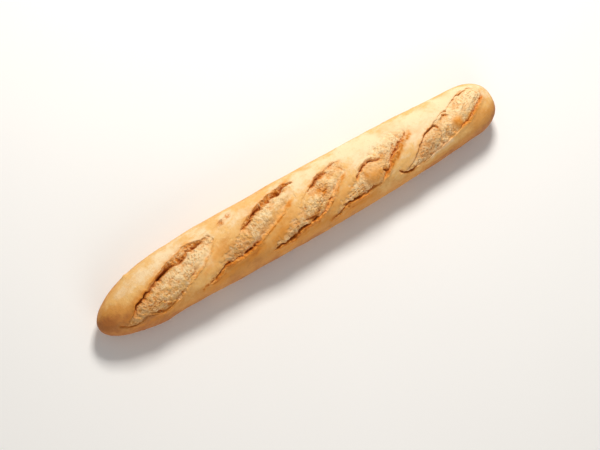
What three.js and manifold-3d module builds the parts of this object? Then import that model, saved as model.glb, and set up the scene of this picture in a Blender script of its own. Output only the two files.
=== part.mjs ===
// A baguette lying on its flat bottom: one solid, millimetres, +X along the loaf, +Z up.
// The loaf is a tapered, slightly bent body. Five oblique slashes cross its top, each a lens-shaped
// opening with a thin ear of crust along its far edge, a lower lip along its near edge, and a strip
// of risen crumb between them, parted from both edges by a crevice.
import * as THREE from 'three';
import { mergeVertices } from 'three/addons/utils/BufferGeometryUtils.js';
import Module from 'manifold-3d';

// Driving dimensions of the loaf. Its sides are fullest at SIDE_HEIGHT, and its lower half reaches
// BELOW_SIDE under that, where the flat bottom cuts it off.
const LENGTH = 500;
const HALF_WIDTH = 36.5;
const HEIGHT = 54;
const WIDEST_AT = -40;
const HIGHEST_AT = -20;
const SIDE_HEIGHT = 22.5;
const BELOW_SIDE = 24.5;
const TOP_ROUNDNESS = 2.15;
const BOTTOM_ROUNDNESS = 2.6;

// Each end: how long its rounding is and how blunt, how much the body narrows and lowers towards it,
// and where it starts to bend sideways, how far, and how sharply.
const LEFT_END = {
  length: 75, bluntness: 2, narrowing: 0.3, lowering: 0.16, bendStart: -110, bend: -8, bendPower: 1.6,
};
const RIGHT_END = {
  length: 34, bluntness: 2.35, narrowing: 0.18, lowering: 0.15, bendStart: 0, bend: 3, bendPower: 1.5,
};

// Grid of the body, from tip to tip and round its section.
const RINGS = 64;
const RING_POINTS = 36;
const END_CROWDING = 0.9;
const FACET_TOLERANCE = 0.03;

// Slashes: where each starts and ends, as a place along the loaf and an angle in degrees from its top
// line (positive towards -Y), how far each edge bulges from that line and where along it, and how
// high the crumb rises above the body.
const SLASHES = [
  { from: [-231, 46], to: [-98, -24], far: 14, farPeak: 0.52, near: 20, nearPeak: 0.48, rise: 3.2 },
  { from: [-134, 52], to: [4, -34], far: 11, farPeak: 0.6, near: 13.5, nearPeak: 0.55, rise: 2.6 },
  { from: [-57, 58], to: [62, -26], far: 9, farPeak: 0.58, near: 16.5, nearPeak: 0.56, rise: 2.8 },
  { from: [20, 59], to: [142, -16], far: 11, farPeak: 0.5, near: 12, nearPeak: 0.48, rise: 3 },
  { from: [110, 47], to: [240, -22], far: 12, farPeak: 0.66, near: 15.5, nearPeak: 0.58, rise: 2.8 },
];
const SLASH_STATIONS = 15;
const SLASH_MARGIN = 0.03;
const SLIT_HALF_WIDTH = 0.7;

// The opening, from its depth at the slash's ends to its depth in the middle.
const END_DEPTH = 1;
const MIDDLE_DEPTH = 6.5;
const CUT_CLEARANCE = 7;
const FAR_UNDERCUT = 1.6;
const NEAR_UNDERCUT = -0.2;

// The crumb, with a crevice at either side that closes towards the slash's ends.
const FAR_CREVICE = 2.6;
const NEAR_CREVICE = 1.7;
const CRUMB_ROOT = 4;
const CRUMB_OVERLAP = 0.8;
const CRUMB_SPANS = 6;
const CRUMB_EDGE = { end: -1.2, middle: -3 };
const CRUMB_SLOPE_START = 0.06;
const CRUMB_SINK = 1;

// The ear along the far edge and the lip along the near edge: height above the body, width of the
// foot, reach over the crevice, thickness there, and where along the slash it is strongest.
const EAR = { height: 2.6, foot: 7, reach: 1.3, thickness: 1.5, peak: 0.6 };
const LIP = { height: 1.5, foot: 6, reach: 0.3, thickness: 1.2, peak: 0.4 };
const EDGE_END_HEIGHT = 0.4;
const SHOULDER = { across: 0.45, height: 0.62 };
const TIP_HEIGHT = 0.8;
const UNDER_TIP = 0.2;
const FOOT_SINK = 1;
const ROOT = { across: 0.4, depth: 2.6 };

const GROUND_THICKNESS = 20;
const CRUST_COLOUR = 0xd9a45f;
const CRUST_ROUGHNESS = 0.7;
const DEGREE = Math.PI / 180;
const NORMAL_STEP = 0.01;

const signedPower = (value, power) => Math.sign(value) * Math.abs(value) ** power;
const blend = (from, to, part) => from + (to - from) * part;

// A rounded end: 0 at the tip and 1 where the full body begins.
function endRounding(distance, end) {
  const part = Math.min(Math.max(distance / end.length, 0), 1);
  return (1 - (1 - part) ** end.bluntness) ** (1 / end.bluntness);
}

function roundingAt(x) {
  return endRounding(LENGTH / 2 + x, LEFT_END) * endRounding(LENGTH / 2 - x, RIGHT_END);
}

// The body narrows and lowers from its fullest place as the square of the distance to it.
function taper(x, fullestAt, loss) {
  const offset = (x - fullestAt) / (LENGTH / 2);
  return 1 - (offset < 0 ? LEFT_END[loss] : RIGHT_END[loss]) * offset ** 2;
}

function bendAt(x, end) {
  const tip = (Math.sign(x) * LENGTH) / 2;
  const part = (x - end.bendStart) / (tip - end.bendStart);
  return part > 0 ? end.bend * part ** end.bendPower : 0;
}

// The body's surface: a rounded upper half over a fuller lower half.
function bodyPoint(x, angle) {
  const rounding = roundingAt(x);
  const halfWidth = HALF_WIDTH * taper(x, WIDEST_AT, 'narrowing') * rounding;
  const rise = (HEIGHT * taper(x, HIGHEST_AT, 'lowering') - SIDE_HEIGHT) * rounding;
  const upper = Math.cos(angle) >= 0;
  const power = 2 / (upper ? TOP_ROUNDNESS : BOTTOM_ROUNDNESS);
  const middle = x < 0 ? bendAt(x, LEFT_END) : bendAt(x, RIGHT_END);
  const y = middle - halfWidth * signedPower(Math.sin(angle), power);
  const lift = signedPower(Math.cos(angle), power) * (upper ? rise : BELOW_SIDE * rounding);
  return new THREE.Vector3(x, y, SIDE_HEIGHT + lift);
}

function bodyNormal(x, angle) {
  const along = bodyPoint(x + NORMAL_STEP, angle).sub(bodyPoint(x - NORMAL_STEP, angle));
  const around = bodyPoint(x, angle + NORMAL_STEP).sub(bodyPoint(x, angle - NORMAL_STEP));
  return around.cross(along).normalize();
}

// Rows of points, each a closed loop, joined into one closed geometry. A fan closes either end, to
// the middle of the end row or to a given tip.
function loft(rows, tips = []) {
  const count = rows[0].length;
  const points = rows.flat();
  const index = [];
  for (let row = 0; row + 1 < rows.length; row += 1) {
    for (let i = 0; i < count; i += 1) {
      const a = row * count + i;
      const b = row * count + ((i + 1) % count);
      index.push(a, b, a + count, b, b + count, a + count);
    }
  }
  for (const last of [false, true]) {
    const row = last ? rows.length - 1 : 0;
    const middle = new THREE.Vector3();
    rows[row].forEach((point) => middle.addScaledVector(point, 1 / count));
    const hub = points.push(tips[last ? 1 : 0] ?? middle) - 1;
    for (let i = 0; i < count; i += 1) {
      const a = row * count + i;
      const b = row * count + ((i + 1) % count);
      index.push(...(last ? [a, b, hub] : [b, a, hub]));
    }
  }
  const geometry = new THREE.BufferGeometry().setFromPoints(points);
  geometry.setIndex(index);
  return mergeVertices(geometry);
}

// Rings of the body, closer together towards the round ends.
function bodyGeometry() {
  const rows = [];
  for (let ring = 1; ring < RINGS; ring += 1) {
    const even = ring / RINGS;
    const crowded = (1 - Math.cos(Math.PI * even)) / 2;
    const x = LENGTH * (blend(even, crowded, END_CROWDING) - 0.5);
    const row = [];
    for (let i = 0; i < RING_POINTS; i += 1) {
      row.push(bodyPoint(x, (2 * Math.PI * i) / RING_POINTS));
    }
    rows.push(row);
  }
  return loft(rows, [bodyPoint(-LENGTH / 2, 0), bodyPoint(LENGTH / 2, 0)]);
}

// A bulge that is 0 at both ends of a slash and 1 at its peak.
function bulge(along, peak) {
  return Math.sin(Math.PI * along ** (Math.log(0.5) / Math.log(peak)));
}

// A point near the surface: so far along a slash, across it towards its near edge, and above it.
function slashPoint(slash, along, across, height) {
  const [fromX, fromAngle] = slash.from;
  const [toX, toAngle] = slash.to;
  const run = toX - fromX;
  const turn = (toAngle - fromAngle) * DEGREE * HALF_WIDTH;
  const size = Math.hypot(run, turn);
  const x = blend(fromX, toX, along) - (across * turn) / size;
  const angle = blend(fromAngle, toAngle, along) * DEGREE + (across * run) / size / HALF_WIDTH;
  return bodyPoint(x, angle).addScaledVector(bodyNormal(x, angle), height);
}

function farEdge(slash, along) {
  return -SLIT_HALF_WIDTH - slash.far * bulge(along, slash.farPeak);
}

function nearEdge(slash, along) {
  return SLIT_HALF_WIDTH + slash.near * bulge(along, slash.nearPeak);
}

function depthAt(along) {
  return blend(END_DEPTH, MIDDLE_DEPTH, bulge(along, 0.5));
}

// A strip along a slash, whose section at each station is a loop of [across, height] places.
function slashStrip(slash, sectionAt) {
  const rows = [];
  for (let station = 0; station <= SLASH_STATIONS; station += 1) {
    const along = blend(SLASH_MARGIN, 1 - SLASH_MARGIN, station / SLASH_STATIONS);
    const section = sectionAt(slash, along);
    rows.push(section.map(([across, height]) => slashPoint(slash, along, across, height)));
  }
  return loft(rows);
}

// The opening, undercut below its far edge.
function openingSection(slash, along) {
  const open = bulge(along, 0.5);
  const far = farEdge(slash, along);
  const near = nearEdge(slash, along);
  return [
    [far, CUT_CLEARANCE],
    [near, CUT_CLEARANCE],
    [near + NEAR_UNDERCUT * open, -depthAt(along)],
    [far - FAR_UNDERCUT * open, -depthAt(along)],
  ];
}

// The risen crumb: a low dome rooted in the loaf below the floor of the opening.
function crumbSection(slash, along) {
  const open = bulge(along, 0.5);
  const far = farEdge(slash, along) + blend(-CRUMB_OVERLAP, FAR_CREVICE, open);
  const near = nearEdge(slash, along) - blend(-CRUMB_OVERLAP, NEAR_CREVICE, open);
  const root = -depthAt(along) - CRUMB_ROOT;
  const edge = blend(CRUMB_EDGE.end, CRUMB_EDGE.middle, open);
  const crest = slash.rise * open - CRUMB_SINK;
  const section = [[far, root]];
  for (let span = 0; span <= CRUMB_SPANS; span += 1) {
    const part = span / CRUMB_SPANS;
    const turn = blend(CRUMB_SLOPE_START, 1 - CRUMB_SLOPE_START, part);
    section.push([blend(far, near, part), blend(edge, crest, Math.sqrt(Math.sin(Math.PI * turn)))]);
  }
  section.push([near, root]);
  return section;
}

// A raised edge of crust, from its foot outside the slash over its tip to its root in the body.
function edgeSection(edge, place, outward, along) {
  const strength = bulge(along, edge.peak);
  const height = EDGE_END_HEIGHT + edge.height * strength;
  return [
    [place + outward * edge.foot, -FOOT_SINK],
    [place + outward * edge.foot * SHOULDER.across, height * SHOULDER.height],
    [place, height],
    [place - outward * edge.reach * strength, height * TIP_HEIGHT],
    [place - outward * UNDER_TIP * strength, height * TIP_HEIGHT - edge.thickness],
    [place + outward * ROOT.across, -ROOT.depth],
  ];
}

function earSection(slash, along) {
  return edgeSection(EAR, farEdge(slash, along), -1, along);
}

function lipSection(slash, along) {
  return edgeSection(LIP, nearEdge(slash, along), 1, along).reverse();
}

const wasm = await Module();
wasm.setup();

function solid(geometry) {
  return new wasm.Manifold(new wasm.Mesh({
    numProp: 3,
    vertProperties: new Float32Array(geometry.attributes.position.array),
    triVerts: new Uint32Array(geometry.index.array),
  }));
}

// Everything below the flat bottom, to be cut away.
function groundGeometry() {
  const block = new THREE.BoxGeometry(LENGTH * 2, HALF_WIDTH * 4, GROUND_THICKNESS);
  block.translate(0, 0, -GROUND_THICKNESS / 2);
  block.deleteAttribute('normal');
  block.deleteAttribute('uv');
  return mergeVertices(block);
}

// The loaf alone, without the bubbles that an ear seals over the narrow end of a crevice.
function largestBody(made) {
  return made.decompose().reduce((best, next) => (next.volume() > best.volume() ? next : best));
}

function loafSolid() {
  let made = solid(bodyGeometry()).subtract(solid(groundGeometry()));
  for (const slash of SLASHES) {
    made = made
      .add(solid(slashStrip(slash, lipSection)))
      .subtract(solid(slashStrip(slash, openingSection)))
      .add(solid(slashStrip(slash, crumbSection)))
      .add(solid(slashStrip(slash, earSection)));
  }
  return largestBody(made.asOriginal().simplify(FACET_TOLERANCE));
}

// The solid as a geometry, with the origin in the middle of its bottom.
function loafGeometry() {
  const mesh = loafSolid().getMesh();
  const geometry = new THREE.BufferGeometry();
  geometry.setAttribute('position', new THREE.BufferAttribute(mesh.vertProperties, 3));
  geometry.setIndex(new THREE.BufferAttribute(mesh.triVerts, 1));
  geometry.computeBoundingBox();
  const middle = geometry.boundingBox.getCenter(new THREE.Vector3());
  return geometry.translate(-middle.x, -middle.y, 0);
}

const crust = new THREE.MeshStandardMaterial({
  color: CRUST_COLOUR, roughness: CRUST_ROUGHNESS, metalness: 0,
});
const loaf = new THREE.Mesh(loafGeometry(), crust);
loaf.name = 'loaf';

const baguette = new THREE.Group();
baguette.add(loaf);

export default baguette;
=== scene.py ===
"""A baguette lying on a pale floor.

The crust is one closed surface round the whole loaf. Each of the five slashes, and a small torn nick, is a
strip of its own that grows out of the crust: crust rising to a ragged ear, the crevice under it, the torn
crumb, a second crevice and the lower lip. Lengths are in millimetres until a mesh is made, in metres.
"""
import math

import bpy
import numpy as np
from mathutils import Matrix, Vector


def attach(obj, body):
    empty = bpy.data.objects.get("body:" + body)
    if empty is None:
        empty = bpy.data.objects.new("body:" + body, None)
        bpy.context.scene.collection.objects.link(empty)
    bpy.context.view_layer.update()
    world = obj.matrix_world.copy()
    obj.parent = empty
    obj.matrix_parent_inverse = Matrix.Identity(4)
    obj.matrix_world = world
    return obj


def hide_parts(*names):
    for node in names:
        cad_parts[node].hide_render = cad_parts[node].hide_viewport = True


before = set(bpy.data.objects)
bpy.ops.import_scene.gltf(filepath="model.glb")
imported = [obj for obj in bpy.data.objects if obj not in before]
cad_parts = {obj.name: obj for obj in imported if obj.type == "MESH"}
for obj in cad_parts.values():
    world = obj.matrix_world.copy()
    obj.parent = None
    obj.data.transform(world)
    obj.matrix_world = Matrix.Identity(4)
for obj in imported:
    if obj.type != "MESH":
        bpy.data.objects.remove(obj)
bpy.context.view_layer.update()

MM = 0.001

# Further than any distance that matters on the loaf.
FAR_AWAY = 99.0

# The loaf's body, as its solid has it.
LENGTH = 500.0
HALF_WIDTH = 36.5
HEIGHT = 54.0
WIDEST_AT = -40.0
HIGHEST_AT = -20.0
SIDE_HEIGHT = 22.5
BELOW_SIDE = 24.5
TOP_ROUNDNESS = 2.15
BOTTOM_ROUNDNESS = 2.6
LEFT_END = {"length": 75.0, "bluntness": 2.0, "narrowing": 0.3, "lowering": 0.16,
            "bend_start": -110.0, "bend": -8.0, "bend_power": 1.6}
RIGHT_END = {"length": 34.0, "bluntness": 2.35, "narrowing": 0.18, "lowering": 0.15,
             "bend_start": 0.0, "bend": 3.0, "bend_power": 1.5}
FLAT_BOTTOM_EDGE = 1.5

# Grid of the crust: rings along the loaf, points round each, and how much the rings crowd at the tips.
RINGS = 460
RING_POINTS = 212
END_CROWDING = 0.35

# The five slashes and, last, the nick. Each runs from one place to another, as a place along the loaf and an
# angle in degrees from its top line, positive towards -Y. The seed is its noises', and lumps and grain are
# the strengths of its crumb's coarse and fine roughness. The lists are spread evenly from start to end: far
# and near are the edges of the crust, as offsets across the slash, face is how far the torn underside of
# the ear slopes down before the crevice, ear and lip are the heights of the two edges of crust, gap and seam
# the depths of the crevices inside them, and rise is the height of the crumb between. Single places have v,
# the hundredths of the way along, and w, the offset across:
# Folds are lines over the crumb: depth, width, how high the side away from the near edge stands over the
# line, and the places as v, w, v, w. A negative depth is a ridge.
# Mounds are v, w, half length, half width and height.
# Tints are v, w, half length, half width, toast, painted shade and skin, where the painted shade is how far
# the bread is darkened to greyish brown as shade, and skin how far smooth crust closes over the crumb. The
# last two may be left out.
# Bands are golden lines: toast, half width, and the places as v, w, v, w.
SLASHES = [
    {"start": (-231, 46), "end": (-98, -24), "seed": 3, "lumps": 0.55, "grain": 1,
     "far": (-2, -0.5, -3.5, -8, -13.5, -14.5, -15.3, -15.3, -16, -16.4, -16.4, -16.4, -16, -15.4, -14.8,
      -14.8, -13.8, -9.5, -4.5, -2, 0),
     "near": (6, 11.5, 12.5, 11.5, 11, 15, 21, 22, 21.5, 21.5, 20, 17.5, 16.5, 16, 15, 14, 12.5, 11.5, 9, 6,
      3),
     "face": (0, 0, 0.3, 0.8, 1, 0.8, 0.6, 1.6, 2, 1.4, 1, 3, 6.2, 7.6, 7.2, 7, 7, 4, 1, 0, 0),
     "ear": (0, 0.5, 1.4, 1.7, 1.9, 2.1, 1.9, 1.7, 1.5, 0.3, 0),
     "gap": (0, 0, 0.8, 2.2, 3.6, 3.6, 3.6, 3, 3, 4.6, 5.2, 4, 4, 4, 3.6, 3.6, 3.6, 3, 1.2, 0.2, 0),
     "lip": (0, 0.4, 0.4, 0.9, 0.9, 0.7, 0.5, 0.4, 0.3, 0.2, 0),
     "seam": (0.8, 1.4, 0.7, 0.2, 0.2, 0.6, 0.9, 0.8, 0.7, 0.7, 0.6, 0.4, 0.3, 0.2, 0.2, 0, 0, 0, 0, 0, 0),
     "rise": (0, 0.6, 1.4, 2.2, 2.6, 2.8, 2.8, 2.6, 2.2, 1.2, 0),
     "folds": [(1.8, 0.9, 0.5, (-0.5, -5, 1, -1, 2.5, 5, 4.5, 9.5, 8, 11.5)),
      (-0.7, 1.2, -0.4, (5, -3, 7.5, 2, 5, 8)), (-0.8, 1.2, -0.4, (11, -6, 13, 0, 16, 8)),
      (-0.7, 1.2, -0.4, (16, -6, 18, 1, 22, 8)), (1, 1.3, 0, (8.5, 0, 10, 5, 9, 9)),
      (2.6, 1.6, 0, (42, -13, 47, -14.2, 52, -14, 57, -12)),
      (-1.5, 1, -0.5, (20, 6, 23, 11, 26.5, 17, 30, 21, 34, 22.5)),
      (-1.5, 1, -0.5, (34, 4, 35.7, 10, 38, 14.5, 41, 19, 46, 20.5)),
      (2.2, 1.6, 0, (26.5, 13, 29, 15.5, 31.5, 18.5)), (2.2, 1.5, 0, (35.5, 14, 39, 20.5)),
      (1.3, 1.3, 0.1, (42, 17.5, 47, 18, 52, 16)),
      (-1.2, 0.8, 0.3, (49, 18.5, 57, 16.8, 64, 17, 70, 16, 78, 13.5, 85, 12, 90, 9.5, 95, 7.5, 99, 4.5)),
      (1.2, 1.2, 0.2, (58, 11, 62, 12.5, 66, 12, 70, 9.5)),
      (0.9, 0.8, 0.3, (86.8, 0.5, 87.5, 4.5, 89.5, 4, 89.7, 0.5, 88, -0.8)),
      (1, 0.9, 0.3, (90, -5, 93, -3.5, 95, -1))],
     "mounds": [(55, 4, 9, 7, 1), (38, -3, 6, 6, 0.7), (78, 4, 6, 5, 0.8), (13, 1, 4, 6, 0.6),
      (69, 0, 3, 4, 0.6), (24, -1, 3, 5, 0.6), (47, -7, 4, 4, 0.6)],
     "tints": [(60, -12, 5, 4, 0.9, 0.35), (45, -18.5, 12, 2.5, 0.6), (30, -16.5, 8, 2, 0.5),
      (64, 11, 6, 3, 0.05, 0.25), (31, 17, 4, 4, 0, 0.3), (46, 17.5, 6, 2.5, 0, 0.25),
      (7, 6, 5, 6, 0.1, 0.3), (17, 3, 14, 12, 0, 0.38), (84, 19, 16, 8, 0.16), (9, -5, 5, 5, 0.4, 0.1),
      (82, 12, 14, 5, 0, 0, 0.9), (24, 9, 3, 4, 0.1, 0, 0.6), (40, 14, 2, 4, 0.1, 0, 0.5)],
     "bands": [(0.5, 1.6, (2, -3, 10, -5, 17, -9, 25, -16.5, 40, -18, 55, -18)),
      (0.5, 1.6, (5, 11, 12, 13, 20, 12.5)), (0.7, 1.8, (60, 17.5, 75, 14.5, 92, 9.5)),
      (0.5, 5, (2, 14, 12, 18, 22, 21, 30, 27)), (0.45, 4, (66, 22, 80, 19, 95, 14))]},
    {"start": (-134, 52), "end": (4, -34), "seed": 11, "lumps": 0.8, "grain": 1,
     "far": (-0.5, -1, -2, -4, -7, -9, -10, -10, -10, -11, -13, -14, -14, -13.5, -13.5, -13.5, -13, -11.5,
      -10, -8, -4),
     "near": (2.5, 3.8, 3.3, 2.4, 1.6, 3.2, 5.6, 9, 10.6, 10.8, 11, 11.3, 11.4, 11.6, 11.8, 11.6, 11, 10,
      7.5, 4, 0),
     "face": (0, 0, 0, 0, 0, 0, 0, 0, 0, 0.2, 3, 3.5, 0.8, 1.6, 3.5, 4, 3.6, 5.5, 2.5, 3.5, 2),
     "ear": (0, 0, 0, 0, 0.5, 1.2, 1.6, 1.8, 1.8, 1.2, 0),
     "gap": (0, 0, 0, 0, 0, 0, 0, 0, 0, 0.8, 2.4, 1.8, 3.4, 4.2, 3.4, 3.2, 3.8, 4.6, 2.6, 3, 0.8),
     "lip": (0.3, 1.4, 1.6, 1.8, 1.6, 1.2, 0.8, 0.6, 0.5, 0.2, 0),
     "seam": (2, 3.4, 2.8, 1.8, 2.8, 3, 2.2, 3, 3.2, 3, 1.6, 0.6, 0.3, 0, 0, 0, 0, 0, 0, 0, 0),
     "rise": (0, 0.1, 0.3, 0.8, 1.4, 2.8, 3.6, 3.6, 3, 1.6, 0),
     "folds": [(-1, 0.7, 0.3, (46, 12, 52, 12, 58, 12, 66, 12.2, 73, 12.4, 80, 11.3, 87, 9)),
      (2, 0.9, 0.4, (50, -9.5, 53.5, -10.5, 56, -9.5, 57.5, -6.5)),
      (1.6, 1, 0.2, (65.5, -11, 67.5, -8.5, 68.5, -6)), (2.2, 1.2, 0.3, (82, -11, 84, -8, 86.5, -3)),
      (1.6, 0.9, 0.3, (88, -8, 92, -7.5, 96, -4.5, 98.5, -0.5)), (0.7, 1, 0.4, (60, 2, 64.5, 6.5, 67, 6)),
      (0.9, 0.7, 0.2, (17, 3.5, 22, 4.5, 28, 6)), (0.7, 0.8, 0.2, (5, 6, 10, 7, 16, 7))],
     "mounds": [(56, -2, 5, 5, 1.5), (70, 1, 6, 6, 1.7), (83, 2, 4, 5, 1.2), (92, 0, 3.5, 4, 1.2),
      (47, 3, 4, 5, 1), (36, -5, 3, 4, 0.8), (63, 6, 3, 3.5, 0.8), (27, -4, 3, 3, 0.6)],
     "tints": [(30, -1, 11, 7, 0, 0.62), (42, 17, 10, 5, 1.2, 0.05), (14, 12, 6, 4, 0.8),
      (70, 7.5, 15, 4, 0.4, 0, 0.7), (84, -9, 3.5, 6, 1.1), (63, -12, 6, 3.5, 0.85),
      (74, -11.5, 6, 4.5, 0.85), (93, -8, 5, 4.5, 1.1), (50, -11, 4, 3.5, 0.85), (55, 7, 4, 3, 0.5, 0.1),
      (62, 23, 20, 7, 0.55), (12, -14, 12, 7, 0.2), (22, 4.5, 9, 3, 0.6), (7, 7, 8, 5, 0.5),
      (48, -8, 4, 4, 0.4, 0, 0.3), (90, 4, 8, 5, 0.1, 0, 0.8), (89, -1.5, 3.5, 3.5, 0.7)],
     "bands": [(1.2, 2.6, (-2, 5, 10, 7, 20, 6, 30, 9, 40, 14, 52, 15)),
      (1.05, 2, (46, 14, 60, 13, 75, 13.2, 90, 10)),
      (0.75, 5.5, (-5, 10, 10, 11, 25, 11.5, 40, 18, 58, 20))]},
    {"start": (-57, 58), "end": (62, -26), "seed": 23, "lumps": 1, "grain": 1,
     "far": (0, -1, -3, -4.5, -5.5, -6, -6, -6, -7, -8.5, -10, -10.5, -11, -12, -12, -12, -11, -10.5, -9.5,
      -8, -5),
     "near": (2.5, 2, 3, 7, 10.5, 9.5, 9.8, 10.8, 12.8, 16, 17.3, 17.3, 16.5, 15.5, 13.8, 12, 10.6, 9.3,
      8.8, 6, 2),
     "face": (0, 0, 0, 0, 0, 0, 0, 0, 0, 0, 0, 0, 0, 0.8, 1, 2.6, 1.8, 0.9, 0.6, 0.4, 0),
     "ear": (0, 0, 0, 0, 0, 0.4, 0.9, 1.4, 1.2, 0.8, 0),
     "gap": (0, 0, 0, 0, 0, 0, 0, 0, 0, 0, 0, 0, 1, 4, 4.2, 2.8, 1.3, 0.6, 0.8, 0.5, 0),
     "lip": (0.2, 0.9, 1.5, 1.5, 1.4, 1.2, 1, 0.8, 0.7, 0.4, 0),
     "seam": (1, 1.6, 3, 3.4, 3.2, 2.6, 2.8, 2.8, 2.4, 2.6, 2, 1, 0.9, 1, 0.6, 0.4, 0.4, 0.4, 0.2, 0, 0),
     "rise": (0, 0.1, 0.4, 1.4, 2.2, 3.2, 3.6, 3.2, 2.2, 1.2, 0),
     "folds": [(3.4, 1.4, 0.4, (38.5, 4.5, 42, 7, 45.5, 10.5, 51, 14)),
      (1.9, 1.1, 0.3, (47, 11, 52, 10.5, 56.5, 10)),
      (-1.4, 0.9, -0.4, (49, 18.6, 54, 18.2, 60, 17.5, 65.5, 16.2, 70, 14.4, 75, 12.7, 80, 11, 85, 10, 92,
       9)), (1, 0.9, 0.3, (19, 13, 23, 12, 29, 12.2, 34, 12.6, 38, 14)),
      (1.6, 0.8, 0.2, (60, 10, 64, 13, 68.5, 15)), (1.8, 0.9, 0.2, (76, -12, 79, -8.5, 82, -5)),
      (1.3, 0.8, 0.3, (83, -8, 87, -8, 91, -8, 96.5, -7.5)),
      (1.2, 0.9, 0.2, (88.5, -5, 90, -1.5, 91.8, 4, 90, 8)), (1.4, 1, 0.1, (45.5, -4, 47.5, -3)),
      (1, 0.9, 0.1, (58, -9.5, 60, -9.3)), (1.2, 1.1, 0, (20, 2, 21.5, 2)),
      (1, 1.1, 0, (30.5, 2.5, 32, 2.5)), (0.9, 1.1, 0.3, (64, 0, 67, 4, 70, 3))],
     "mounds": [(55, -4, 4.5, 5, 1.4), (61, 5, 3.5, 5, 1.3), (73, 1, 5, 6, 1.9), (85, -1, 4, 5, 1.3),
      (77, 7, 3.5, 3.5, 1), (47, -1, 3, 5, 0.8), (37, 3, 4, 4, 0.8), (25, 1, 4, 3.5, 0.8),
      (56, 14, 5, 2.5, 0.9)],
     "tints": [(46, 13, 7, 2.5, 0.9), (46, 19.5, 8, 4, 1.1), (67, 1.5, 5, 5, 1.15, 0.05),
      (46, 10.5, 5, 3, 1.2, 0.2), (33, 17, 8, 4, 0.9), (60, 16, 10, 2.5, 0.6), (76, -9, 6, 3, 1),
      (30, 2, 10, 5, 0, 0.3), (88, -6, 5, 4, 0.4), (62, 24, 20, 6, 0.5), (20, -10, 20, 8, 0.45, 0.03),
      (33, 13.5, 9, 3, 0.5), (75, 9.5, 3, 2, 0.4, 0.2), (66, 14, 14, 4, 0.35, 0, 0.8),
      (90, 5, 5, 6, 0.3, 0, 0.4), (95, -3, 3.5, 4, 0.5)],
     "bands": [(1.2, 2.6, (6, 3, 14, 8, 22, 12.5, 32, 13.5, 40, 17, 50, 20, 60, 19.5)),
      (1.1, 2.2, (56, 19.5, 66, 17, 78, 13.2, 95, 9.5)),
      (0.75, 6, (0, 8, 15, 14, 30, 18.5, 45, 23, 62, 25))]},
    {"start": (20, 59), "end": (142, -16), "seed": 31, "lumps": 0.8, "grain": 1.1,
     "far": (-1, -2, -3.5, -6, -6.5, -9, -10.5, -11, -13, -14, -14.5, -15.5, -16, -17, -17.5, -17.5, -17,
      -16, -14, -10, -5),
     "near": (3, 4, 4, 3, 3, 6, 9, 11.5, 12.5, 14, 14.8, 14, 11.5, 9.5, 5, 4, 3.8, 2.6, 1.6, 0.6, 1),
     "face": (0, 0),
     "ear": (0, 0, 0, 0, 0.1, 0.3, 0.2, 0, 0, 0, 0),
     "gap": (0, 0),
     "lip": (0.2, 0.8, 1.3, 1.5, 1.2, 0.8, 1.2, 1.6, 1.5, 1, 0),
     "seam": (2.4, 2.6, 2.2, 0.7, 3, 3.4, 3.2, 1.2, 2, 0.9, 0.2, 0.6, 2.2, 1.8, 1.8, 2, 1.9, 1.5, 1.5, 1.2,
      0.4),
     "rise": (0, 0.1, 0.4, 1, 2.4, 4.2, 3.6, 1.8, 1.2, 0.6, 0),
     "folds": [
      (3.5, 1.15, 1.6, (36.5, -6, 38, -9.5, 40, -12, 44, -13.3, 48, -13.7, 52, -13, 56, -11.8, 59, -8.8,
       61.5, -6, 63.5, -3.5)), (2.4, 1, 0.3, (52, -12.8, 56, -11, 59.5, -8, 62, -5, 64.5, -2.5)),
      (3, 1.1, 0.4, (57.5, 3.5, 58.8, 7, 60, 10.5)), (1, 0.9, 0.2, (41, -2, 41.5, 1.5, 40.5, 4)),
      (1.4, 1, 0.2, (35, 5, 36.8, 9, 40, 12)), (1, 0.9, 0.2, (42.5, 10, 44, 14)),
      (1.8, 0.9, 0.4, (16, 11, 19, 13.5, 21.5, 15, 26, 17)), (1.1, 0.9, 0.2, (34, 16.5, 39, 17)),
      (1.8, 1, 0.2, (14, -2.5, 16.5, 0, 17.2, 3, 16, 7.5)),
      (-1.1, 0.8, 0.2, (43, 16.5, 50, 16, 58, 15.8, 66, 14)), (1.3, 1.2, 0.1, (63, 11, 66, 10, 69, 9)),
      (1.4, 1.2, 0.1, (71.5, 4, 74.5, 3.2)), (1.4, 1.2, 0.1, (77.5, 4, 80.5, 3.5)),
      (1.1, 1, 0, (29.5, -8.5, 31.5, -8)), (0.8, 1, 0.3, (68, -4, 70, -1, 73, -3))],
     "mounds": [(48, -1, 7.5, 8, 3.2), (52, 9, 5, 5, 1.8), (29, 1, 4, 5, 1), (38, 9, 3.5, 4, 1),
      (70, -8, 5, 6, 0.8), (82, -7, 5, 5, 0.7), (12, 0, 3, 2.5, 0.8), (22, 4, 3, 3, 0.7)],
     "tints": [(49, 2, 10, 11, 0.75, 0, 0.7), (45, -5, 4, 5, 0.8, 0.1), (55, 3, 3, 6, 0.85, 0.1),
      (65.5, -2, 2.5, 5, 0.3, 0.4), (61, 6.5, 3, 5, 0.9, 0.2), (60, 8, 4, 3, 0.6, 0.15),
      (27, 12, 13, 4.5, 1, 0.1), (40, 17, 6, 3.5, 0.8, 0.05), (31, -3, 5, 5, 0, 0.2),
      (13, -12, 15, 7, 0.5, 0.05), (6, 5, 6, 4, 0.5, 0.05), (75, -6, 8, 7, 0.1, 0.12)],
     "bands": [(1.4, 3.4, (50, 16, 62, 12.5, 70, 9.6, 80, 7.2, 90, 4.6, 103, 1.6)),
      (0.75, 5.5, (-4, 9, 15, 13, 30, 17.5, 48, 21)), (1.4, 1.8, (15, 9, 20, 12.5, 27, 15)),
      (0.8, 1.6, (32, 14, 37, 15.5, 42, 15.5)),
      (1, 2.6, (-3, 4, 10, 6, 20, 7.5, 30, 11, 40, 14.5, 52, 17))]},
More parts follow.
